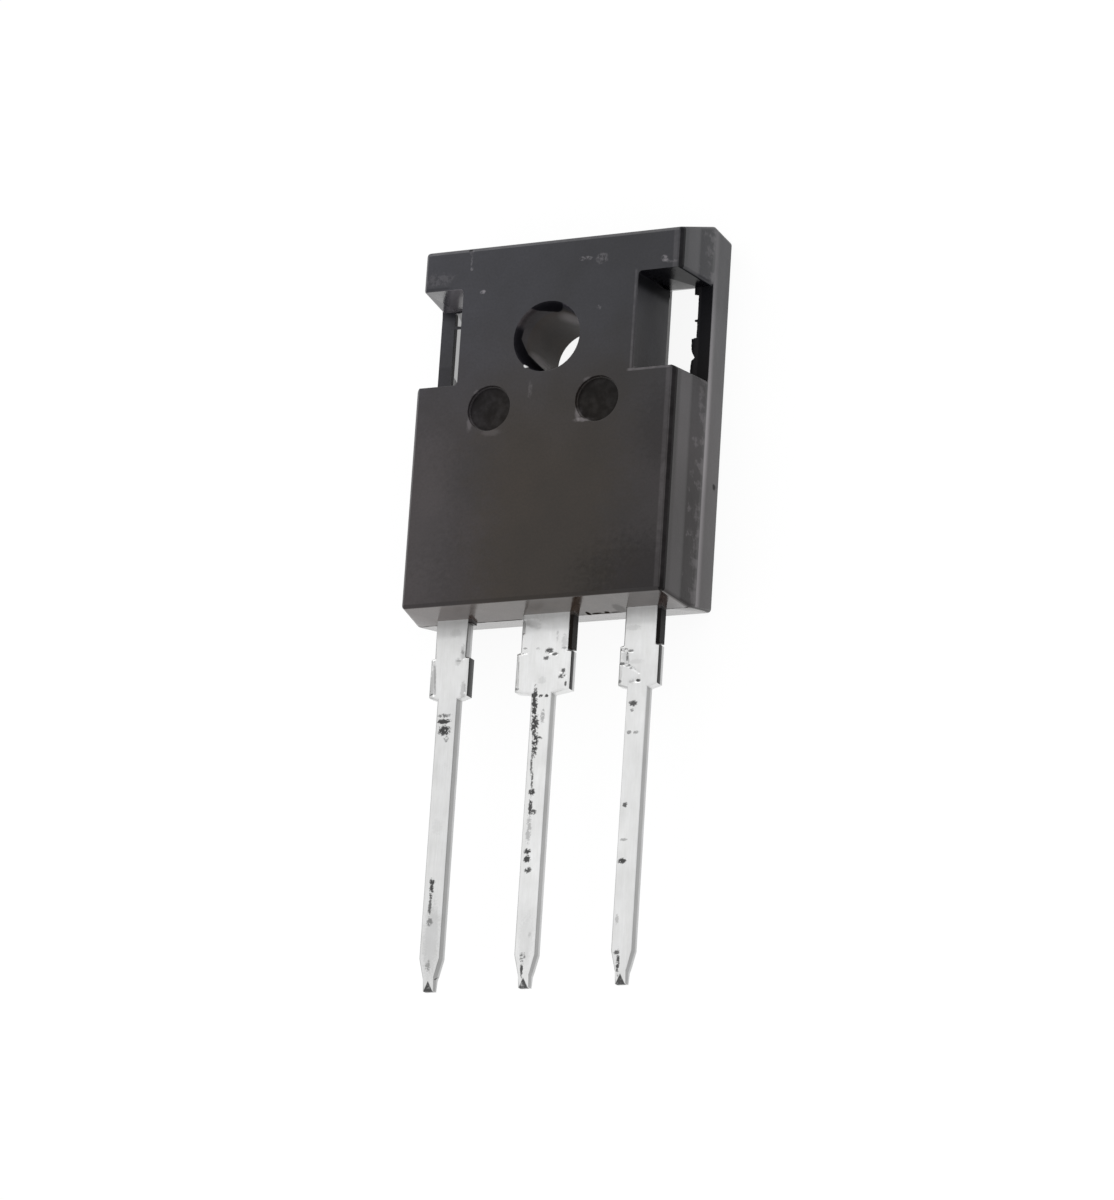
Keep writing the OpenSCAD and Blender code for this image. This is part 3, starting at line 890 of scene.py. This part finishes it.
def case_masks(tree):
    """The epoxy's noises, and masks from 0 to 1 of the outer faces of the case."""
    at = SimpleNamespace()
    at.grain = tree.noise(7.0, 4.0, 0.6)
    at.cloud = tree.noise(0.35, 3.0, 0.5, offset=(3.1, 0.4, 1.7))
    at.patch = tree.noise(1.6, 4.0, 0.6, offset=(7.3, 2.2, 5.9))
    at.wobble = tree.about(tree.noise(3.2, 3.0, 0.6), 0.0, 0.7)
    at.broken = tree.step(tree.noise(4.5, 3.0, 0.65, offset=(1.3, 8.1, 2.6)), 0.38, 0.58)
    at.from_middle = tree.math("ABSOLUTE", tree.x)
    at.right = tree.step(tree.x, *RIGHT_FROM)
    at.front = tree.step(tree.nz, *FACES_FRONT)
    side = tree.step(tree.math("ABSOLUTE", tree.nx), *FACES_SIDE)
    at.outer = tree.times(side, tree.step(at.from_middle, *SIDE_FROM))
    at.faces_down = tree.step(tree.ny, *FACES_DOWN)
    at.bottom = tree.times(at.faces_down, tree.step(tree.y, *BOTTOM_BELOW))
    at.middle = tree.band(tree.y, *MIDDLE_SPAN)
    at.middle_band = tree.times(at.outer, tree.band(tree.z, *MIDDLE_BAND))
    edge = tree.times(tree.band(tree.nz, *EDGE_TILT), tree.step(tree.z, *EDGE_ABOVE))
    at.low_edge = tree.times(edge, tree.step(tree.y, *LOW_EDGE_BELOW))
    at.edge = tree.math("SUBTRACT", edge, at.low_edge)
    return at


def rail_masks(tree, at):
    """Adds the masks of the rails and of the left rail's inner wall, which is seen in its window. The
    rails and the top of that wall carry painted shade.
    """
    at.notch = tree.band(tree.y, *NOTCH_SPAN)
    rail = tree.times(at.notch, tree.step(at.from_middle, *RAIL_FROM), tree.step(tree.z, *RAIL_BELOW))
    rail = tree.times(rail, tree.step(tree.nz, *FACES_UP))
    low_end = tree.times(tree.step(tree.y, *RAIL_LOW_END), RAIL_LOW_END_SHARE)
    ends = tree.times(tree.most(tree.step(tree.y, *RAIL_TOP_END), low_end), RAIL_ENDS_SHADE)
    at.rail = tree.times(rail, tree.most(tree.turn(at.right, *RAIL_SHADE), ends))
    wall = tree.times(at.notch, tree.step(tree.x, *LEFT_WALL_FROM), tree.step(tree.nx, *TURNED))
    wall = tree.times(wall, tree.step(tree.z, *LEFT_WALL_BELOW))
    at.left_wall = wall
    at.left_wall_top = tree.times(wall, tree.step(tree.z, *LEFT_WALL_UPPER))
    end = tree.times(wall, tree.step(tree.y, *LEFT_WALL_END), tree.step(tree.z, *LEFT_WALL_LOWER))
    at.left_wall_end = end
    at.left_wall_low = tree.math("SUBTRACT", wall, tree.most(at.left_wall_top, end))


def notch_masks(tree, at):
    """Adds the masks of the windows' walls, and of the notches' ceilings, folds and shade, where light
    and shade are painted.
    """
    wall = tree.times(tree.step(tree.z, *WINDOW_BELOW), tree.band(tree.x, *WINDOW_ACROSS))
    at.window_wall = tree.times(wall, tree.band(tree.y, *WINDOW_SPAN), tree.step(tree.nz, *STANDS))
    ceiling = tree.times(tree.step(tree.ny, *FACES_CEILING), tree.band(tree.y, *CEILING_SPAN))
    at.ceiling = tree.times(ceiling, tree.step(at.from_middle, *CEILING_FROM))
    at.glossy = tree.most(at.bottom, tree.times(at.ceiling, at.faces_down))
    # Painted light on the left notch's ceiling: its lit part ends along a slanting line
    lit_end = tree.math("MULTIPLY_ADD", tree.z, *LIT_LINE)
    at.lit = tree.step(tree.plus(tree.x, lit_end), *LIT_EDGE)
    unlit = tree.times(at.ceiling, tree.math("SUBTRACT", 1.0, at.lit))
    at.unlit = tree.times(unlit, tree.turn(at.right, 1.0, 0.0))
    # The notch's wall leans, so its fold lies further out below
    beside = tree.math("MULTIPLY_ADD", tree.z, NOTCH_WALL_LEAN, at.from_middle)
    fold = tree.times(tree.step(beside, *LEFT_FOLD_WITHIN), tree.band(tree.y, *LEFT_FOLD_SPAN))
    fold = tree.times(fold, tree.step(tree.nz, *STEEP), tree.step(tree.ny, *LEFT_FOLD_TURN))
    at.left_fold = tree.times(fold, tree.step(tree.x, *LEFT_FOLD_FROM))
    # Painted shade in the fold between the right notch's wall and its ceiling
    fold = tree.times(tree.band(tree.x, *FOLD_ACROSS), tree.band(tree.y, *FOLD_SPAN))
    at.fold = tree.times(fold, tree.step(tree.nz, *STEEP), tree.step(tree.nx, *FOLD_TURN))
    shade = tree.times(tree.band(tree.x, *NOTCH_SHADE_ACROSS), tree.step(tree.nx, *TURNED))
    at.notch_shade = tree.times(shade, tree.step(tree.y, *NOTCH_SHADE_ABOVE), at.notch)


def bore_masks(tree, at):
    """Adds the masks of the hole's wall, and of the black crescents of painted shade at its top and
    left.
    """
    wall = tree.near((0.0, 0.0, 0.0), BORE_SIZE, edge=0.01)
    at.bore = tree.times(wall, tree.step(tree.nz, *IN_BORE))
    aside = tree.math("ABSOLUTE", tree.math("SUBTRACT", tree.x, TOP_CRESCENT_MIDDLE))
    line = tree.math("MULTIPLY_ADD", tree.math("POWER", aside, TOP_CRESCENT_POWER), *TOP_CRESCENT_LINE)
    top = tree.step(tree.math("SUBTRACT", tree.z, line), *TOP_CRESCENT_EDGE)
    top = tree.times(top, tree.step(tree.y, *TOP_CRESCENT_ABOVE), tree.step(tree.x, *TOP_CRESCENT_END))
    left = tree.times(tree.step(tree.z, *LEFT_CRESCENT_FRONT), tree.step(tree.y, *LEFT_CRESCENT_TOP))
    lines = [tree.math("MULTIPLY_ADD", tree.z, *line) for line in LEFT_CRESCENT_LINES]
    below = tree.step(tree.math("SUBTRACT", tree.y, tree.most(*lines)), *LEFT_CRESCENT_EDGE)
    left = tree.times(tree.most(left, below), tree.step(tree.x, *LEFT_CRESCENT_ACROSS))
    at.crescents = tree.times(at.bore, tree.most(top, left))


def front_area(tree, at, place, size):
    """A large soft area of the front."""
    return tree.times(tree.near((*place, FRONT_Z), (*size, 1.0), at.wobble, 0.7), at.front)


def pale_places(tree, at):
    """How much brightness each place adds to the plain epoxy: wear and scuffs, and painted light on
    edges, ceilings, the bottom face and in the hole.
    """
    # The sides: a scuffed low band, soft bands above it, and a worn parting line
    pale = tree.times(at.outer, tree.band(tree.z, *LOW_BAND), tree.step(tree.z, *LOW_SIDE_PALE))
    pale = tree.times(pale, tree.step(tree.y, *LOW_SIDE_ALONG), tree.turn(at.middle, *LOW_SIDE_MIDDLE))
    upper = tree.times(at.outer, tree.band(tree.z, *UPPER_BAND))
    pale = tree.plus(pale, tree.times(upper, tree.turn(at.middle, *UPPER_BAND_PALE)))
    pale = tree.plus(pale, tree.times(at.middle_band, at.middle, MIDDLE_BAND_PALE))
    climb = tree.math("MULTIPLY_ADD", tree.z, PARTING_CLIMB, at.patch)
    parting = tree.times(tree.step(tree.z, *PARTING_ABOVE), tree.step(climb, *PARTING_PATCHES))
    parting = tree.times(parting, tree.turn(at.broken, *PARTING_BROKEN))
    pale = tree.plus(pale, tree.times(at.outer, parting, PARTING_PALE))
    # Edges of the front and of the right notch, paler from wear and from a painted highlight
    pale = tree.plus(pale, tree.times(at.edge, tree.step(at.patch, *EDGE_PALE)))
    strip = tree.times(tree.band(tree.x, *STRIP_ACROSS), at.front)
    strip = tree.times(strip, tree.step(at.patch, *STRIP_PATCHES))
    pale = tree.plus(pale, tree.times(strip, STRIP_PALE))
    edge = tree.times(tree.band(tree.x, *NOTCH_EDGE_ACROSS), tree.band(tree.y, *NOTCH_EDGE_SPAN))
    foot = tree.times(tree.band(tree.y, *NOTCH_FOOT_SPAN), tree.band(tree.x, *NOTCH_FOOT_ACROSS))
    worn_and_lit = tree.most(tree.times(edge, NOTCH_EDGE_SHARE), foot)
    worn_and_lit = tree.times(worn_and_lit, tree.step(tree.z, *WORN_AND_LIT_ABOVE), tree.step(at.patch, *NOTCH_PATCHES))
    pale = tree.plus(pale, tree.times(worn_and_lit, NOTCH_PALE))
    # Painted light on the notches' ceilings and on the bottom face
    pale = tree.plus(pale, tree.times(at.ceiling, at.lit, tree.turn(at.right, *LIT_PALE)))
    pale = tree.plus(pale, tree.times(at.unlit, UNLIT_PALE))
    to_left = tree.step(tree.x, *BOTTOM_LEFT, *BOTTOM_LEFT_PAINTED_LIGHT)
    bottom = tree.plus(tree.about(at.patch, *BOTTOM_PAINTED_LIGHT), to_left)
    pale = tree.plus(pale, tree.times(at.bottom, bottom))
    for place, size, strength in FRONT_SCUFFS:
        scuff = tree.near((*place, FRONT_Z), (*size, 0.3), at.wobble)
        pale = tree.plus(pale, tree.times(scuff, at.broken, strength))
    # Painted light on the hole's wall
    for place, size, strength in BORE_PAINTED_LIGHTS:
        pale = tree.plus(pale, tree.times(tree.near(place, size, edge=0.6), strength))
    for place, size, strength in MARK_LIGHTS:
        pale = tree.plus(pale, tree.times(tree.near(place, size, at.wobble, 0.5), strength))
    for place, size, strength in PALE_AREAS:
        pale = tree.plus(pale, tree.times(front_area(tree, at, place, size), strength))
    return pale


def seam_grime(tree, at):
    """Grime along the parting line of the bottom face."""
    grime = tree.times(at.bottom, tree.band(tree.z, *SEAM_HEIGHT))
    grime = tree.times(grime, tree.step(at.patch, *SEAM_PATCHES))
    for (x, z), (half_x, half_z), strength in SEAM_SPECKS:
        wobble = tree.times(at.wobble, 0.5)
        speck = tree.near((x, CASE_BOTTOM, z), (half_x, 1.0, half_z), wobble, 0.35)
        grime = tree.most(grime, tree.times(speck, at.bottom, strength))
    return grime


def dark_places(tree, at):
    """How dark each place is kept, from 0 to 1: painted shade on the rails, windows, notch ceilings,
    folds and walls and in the hole's crescents, and other dark places: marks, webs, seam grime, nicks
    and areas of the front.
    """
    right = tree.near((MARK_X, -MARK_Y, FRONT_Z), MARK_SIZE, edge=0.02)
    left = tree.near((-MARK_X, -MARK_Y, FRONT_Z), MARK_SIZE, edge=0.02)
    marks = tree.times(tree.most(right, left), tree.step(tree.z, *MARK_BELOW))
    marks = tree.times(marks, tree.step(at.patch, *MARK_DARK))
    web = tree.step(tree.y, *WEB_BELOW)
    slope = tree.times(tree.band(tree.z, *SLOPE_HEIGHT), tree.step(tree.x, *SLOPE_FROM))
    dark = tree.most(at.rail, tree.times(at.window_wall, WINDOW_SHADE), marks, web, at.crescents)
    dark = tree.most(dark, at.notch_shade, slope, tree.times(at.ceiling, at.right, CEILING_SHADE))
    dark = tree.most(dark, tree.times(at.unlit, UNLIT_SHADE), at.left_wall_top)
    dark = tree.most(dark, at.seam, at.fold, tree.times(at.low_edge, LOW_EDGE_DARK))
    for place, size, strength in DARK_AREAS:
        dark = tree.most(dark, tree.times(front_area(tree, at, place, size), strength))
    for place, size, strength in FRONT_NICKS:
        dark = tree.most(dark, tree.times(tree.near(place, size, at.wobble), strength))
    return dark


def epoxy_colour(tree, at, pale):
    """Cooler at the top and browner below, with painted light that makes it brighter on the left and
    in the hole, and with the pale places added.
    """
    tone = tree.times(tree.step(tree.x, *ACROSS_PAINTED_LIGHT), tree.about(at.cloud, 1.0, CLOUD_SPREAD))
    tone = tree.times(tone, tree.about(at.grain, 1.0, GRAIN_SPREAD))
    # Painted light makes the hole's wall brighter
    tone = tree.scaled(tone, at.bore, BORE_PAINTED_GAIN)
    warm = tree.step(tree.plus(tree.y, tree.about(at.cloud, 0.0, WARM_SPREAD)), *WARM_BELOW)
    warm = tree.scaled(warm, tree.most(at.fold, at.crescents), WARM_IN_SHADE)
    browned = tree.most(tree.step(tree.z, *BROWN_BELOW), tree.step(tree.x, *BROWN_LEFT, *WARM_LEFT))
    browned = tree.times(browned, tree.turn(at.crescents, *WARM_IN_BORE))
    warm = tree.most(warm, tree.times(at.bore, browned), tree.times(at.window_wall, WARM_IN_WINDOW))
    aside = tree.math("ABSOLUTE", tree.math("SUBTRACT", tree.x, BROWN_MIDDLE))
    plum = tree.step(tree.plus(aside, tree.about(at.patch, 0.0, PLUM_SPREAD)), *PLUM_BESIDE)
    tint = tree.mix(warm, COOL_EPOXY, tree.mix(plum, BROWN_EPOXY, PLUM_EPOXY))
    pale_tint = tree.mix(at.bottom, PALE_TINT, BOTTOM_LIGHT_TINT)
    plain = tree.vector("SCALE", tint, scale=tone)
    return tree.vector("ADD", plain, tree.vector("SCALE", pale_tint, scale=pale))


def epoxy_shine(tree, at, dark, nick):
    """How much each place mirrors, as the start level times a factor for each mask."""
    low_side = tree.times(at.outer, tree.step(tree.z, *LOW_SIDE_BELOW))
    low_side = tree.times(low_side, tree.step(tree.y, *LOW_SIDE_ABOVE))
    level = tree.turn(at.front, *FRONT_SHINE)
    for mask, factor in (
        (dark, 0.2),
        (nick, 0.2),
        (at.left_wall_top, 0.006),
        (tree.times(at.ceiling, at.right), 0.3),
        (at.left_wall, 2.0),
        (at.left_wall_low, 4.6),
        (at.bore, 0.32),
        (at.glossy, 2.0),
        (at.bottom, 1.13),
        (low_side, 0.75),
        (tree.most(at.left_fold, at.left_wall_end), 0.01),
        (tree.most(at.crescents, at.seam, at.fold), 0.0),
        (at.middle_band, 0.52),
    ):
        level = tree.scaled(level, mask, factor)
    return level


def mould_material():
    """Dark epoxy: fine grain, edges paler from wear and a painted highlight, glossier walls, painted
    light and shade in the hole, notches and windows, and marks where the part has them.
    """
    tree = Tree("mould_compound")
    at = case_masks(tree)
    rail_masks(tree, at)
    notch_masks(tree, at)
    bore_masks(tree, at)
    at.seam = seam_grime(tree, at)
    pale = pale_places(tree, at)
    dark = dark_places(tree, at)
    nick = tree.near(*SIDE_NICK, at.wobble)
    keep = tree.times(tree.turn(dark, 1.0, DARK_KEEPS), tree.turn(nick, 1.0, NICK_KEEPS))
    keep = tree.scaled(keep, at.crescents, SHADE_CRESCENTS_KEEP)
    colour = tree.vector("SCALE", epoxy_colour(tree, at, pale), scale=keep)
    tree.set("Base Color", tree.mix(tree.near(RIM_WHITE_SPOT, WHITE_SPOT_SIZE), colour, WHITE_SPOT_COLOUR))
    rough = tree.about(at.grain, *EPOXY_ROUGH)
    for mask, less in (
        (at.outer, SIDE_POLISH),
        (at.glossy, WALL_POLISH),
        (at.left_wall, WALL_POLISH),
    ):
        rough = tree.math("SUBTRACT", rough, tree.times(mask, less))
    tree.set("Roughness", rough)
    tree.set("Specular IOR Level", epoxy_shine(tree, at, dark, nick))
    pits = tree.noise(11.0, 3.0, 0.7, offset=(0.4, 6.2, 9.1))
    waves = tree.bump(tree.noise(0.9, 2.0, 0.5), 0.02, 0.6)
    tree.set("Normal", tree.bump(tree.plus(pits, at.grain), 0.004, 0.8, waves))
    return tree.material


def lead_marks_and_shade(tree, wobble, broken):
    """How dark each place on the leads' fronts is, from 0 to 1: marks, and painted shade along the
    pressed grooves.
    """
    total = 0.0
    for (x, y), size, strength in LEAD_MARKS_AND_GROOVE_SHADE:
        spot = tree.near((x, y, LEAD_TOP_Z), (*size, 0.25), wobble, 0.4)
        total = tree.most(tree.times(spot, broken, strength), total)
    return total


def sheared_and_shaded_sides(tree):
    """The tone of the leads' sides: darker than the fronts by painted shade, sheared smooth in front,
    torn and paler behind.
    """
    sheared = tree.step(tree.z, *SHEAR_LINE, *SHEARED_AND_SHADED_TONES)
    # Painted shade keeps the wide parts' right sides nearly black in front of the torn part
    wide = tree.band(tree.y, SHOULDER - 0.1, STUB_START, 0.05)
    torn_z = tree.step(tree.x, *GATE_SIDE, *TORN_HEIGHTS)
    black = tree.step(tree.math("SUBTRACT", tree.z, torn_z), 0.0, 0.1)
    black = tree.times(wide, tree.step(tree.nx, *TURNED), black)
    sheared = tree.scaled(sheared, black, RIGHT_SIDE_SHADE)
    return tree.turn(tree.step(tree.math("ABSOLUTE", tree.nx), *SHEARED_TILT), 1.0, sheared)


def torn_tips(tree, grain):
    """A painted dark reflection: a wedge in the middle of each lead's torn tip, from 0 to 1."""
    lead = tree.math("ROUND", tree.math("DIVIDE", tree.x, PITCH))
    across = tree.math("ABSOLUTE", tree.math("SUBTRACT", tree.x, tree.times(lead, PITCH)))
    past = tree.math("SUBTRACT", TORN_TIP_Y, tree.y)
    tip = tree.step(tree.math("MULTIPLY_ADD", past, TORN_TIP_SLOPE, tree.times(across, -1)), 0, 0.05)
    return tree.times(tip, tree.step(tree.z, *TORN_TIP_ABOVE), tree.step(grain, 0.3, 0.5, 0.5, 1.0))


def tin_material(name, tone_level):
    """Matt tin plate on copper: lines drawn along Y, sheared sides, dark marks and torn tips, with
    painted shade on the sides, rolled edges and grooves and a painted dark reflection in the tips.
    """
    tree = Tree(name)
    grain = tree.noise(5.0, 4.0, 0.6)
    cloud = tree.noise(0.5, 3.0, 0.5, offset=(2.1, 0.9, 0.7))
    lines = tree.noise(2.6, 3.0, 0.6, stretch=(5.0, 0.22, 5.0))
    smear = tree.noise(1.4, 3.0, 0.6, stretch=(1.6, 0.6, 1.6), offset=(6.1, 3.3, 0.2))
    wobble = tree.about(tree.noise(8.0, 4.0, 0.7), 0.0, 1.1)
    broken = tree.step(tree.noise(5.0, 2.0, 0.6, offset=(0.7, 4.2, 1.1)), 0.36, 0.46, 0.25, 1.0)
    tone = tree.times(tone_level, tree.about(cloud, 1.0, 0.14), tree.about(lines, 1.0, 0.07))
    tone = tree.times(tone, tree.about(smear, 1.0, 0.1), tree.step(tree.x, *GATE_SIDE, *GATE_TONES))
    tone = tree.times(tone, sheared_and_shaded_sides(tree))
    # Painted shade makes the rolled left edges greyer, and the roots are darker by the case
    rolled = tree.times(tree.band(tree.nx, *ROLLED_TILT), tree.step(tree.z, *ROLLED_ABOVE))
    by_case = tree.times(tree.band(tree.y, *ROOT_BAND), tree.step(tree.nz, *TURNED))
    tone = tree.scaled(tree.scaled(tone, rolled, ROLLED_SHADE), by_case, ROOT_TONE)
    # Smudges, and painted shade along the pressed grooves
    for (x, y), size, strength in LEAD_SMUDGES_AND_GROOVE_SHADE:
        grey_place = tree.near((x, y, LEAD_TOP_Z), (*size, 0.3), wobble, 0.5)
        tone = tree.scaled(tone, grey_place, 1 - GREY_PLACE_DEPTH * strength)
    tips = tree.times(torn_tips(tree, grain), TORN_TIP_PAINTED_REFLECTION)
    dark = tree.most(lead_marks_and_shade(tree, wobble, broken), tips)
    tint = tree.mix(smear, WARM_TIN, COOL_TIN)
    tree.set("Base Color", tree.vector("SCALE", tint, scale=tree.scaled(tone, dark, DARK_PLACE_TONE)))
    tree.set("Metallic", tree.turn(dark, 1.0, DARK_PLACE_METAL))
    rough = tree.plus(tree.about(lines, *TIN_ROUGH), tree.about(grain, 0.0, 0.05))
    tree.set("Roughness", tree.plus(rough, tree.times(dark, DARK_PLACE_ROUGH)))
    fine = tree.bump(tree.plus(lines, grain), 0.003, 0.7)
    tree.set("Normal", tree.bump(smear, 0.02, 0.5, fine))
    return tree.material


def plain_metal(name, colour, rough, scale):
    """A metal inside the case, with an uneven surface."""
    tree = Tree(name)
    grain = tree.noise(scale, 4.0, 0.6)
    tint = tree.mix(grain, tuple(0.8 * c for c in colour), tuple(min(1.0, 1.15 * c) for c in colour))
    tree.set("Base Color", tint)
    tree.set("Metallic", 1.0)
    tree.set("Roughness", tree.about(grain, rough, 0.1))
    tree.set("Normal", tree.bump(grain, 0.005, 0.6))
    return tree.material


make_camera()
make_floor()
make_light()
MOULD = mould_material()
PLATE = tin_material("tinned_copper", PLATE_TONE)
LEAD = tin_material("tinned_lead", LEAD_TONE)
SILICON = plain_metal("silicon", (0.2, 0.21, 0.23), 0.22, 1.2)
SOLDER = plain_metal("solder", (0.45, 0.45, 0.44), 0.5, 3.0)
WIRE = plain_metal("bond_wire", (0.72, 0.72, 0.72), 0.28, 8.0)
NODE_MATERIALS = {
    "mould_body": MOULD,
    "collector_plate": PLATE,
    "gate_lead": LEAD,
    "emitter_lead": LEAD,
    "switch_chip": SILICON,
    "diode_chip": SILICON,
    "switch_solder": SOLDER,
    "diode_solder": SOLDER,
}

whole = whole_part_tree()
case_edges = [(mould_corner_width, 4), (mould_edge_width, 2)]
lead_edges = [(metal_edge_width, 3)]
for node, name, edges, slot in (
    ("mould_body", "case_skin", case_edges, "mould_compound"),
    ("collector_plate", "plate_and_centre_lead", lead_edges, "tinned_copper"),
    ("gate_lead", "gate_lead_metal", lead_edges, "tinned_lead"),
    ("emitter_lead", "emitter_lead_metal", lead_edges, "tinned_lead"),
):
    replace_node(node, name, edges, NODE_MATERIALS[node], whole)
make_torn_sheet("right_window_flash", RIGHT_FLASH, 3)
make_torn_sheet("left_window_flash", LEFT_FLASH, 5)
# A dark sheet that stands for the shade under the left notch's ceiling
make_torn_sheet("left_top_shade_sheet", TOP_LEFT_SHADE_SHEET, 8)
for name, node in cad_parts.items():
    node.data.materials.clear()
    node.data.materials.append(NODE_MATERIALS.get(name, WIRE))

scene.view_settings.view_transform = "Standard"
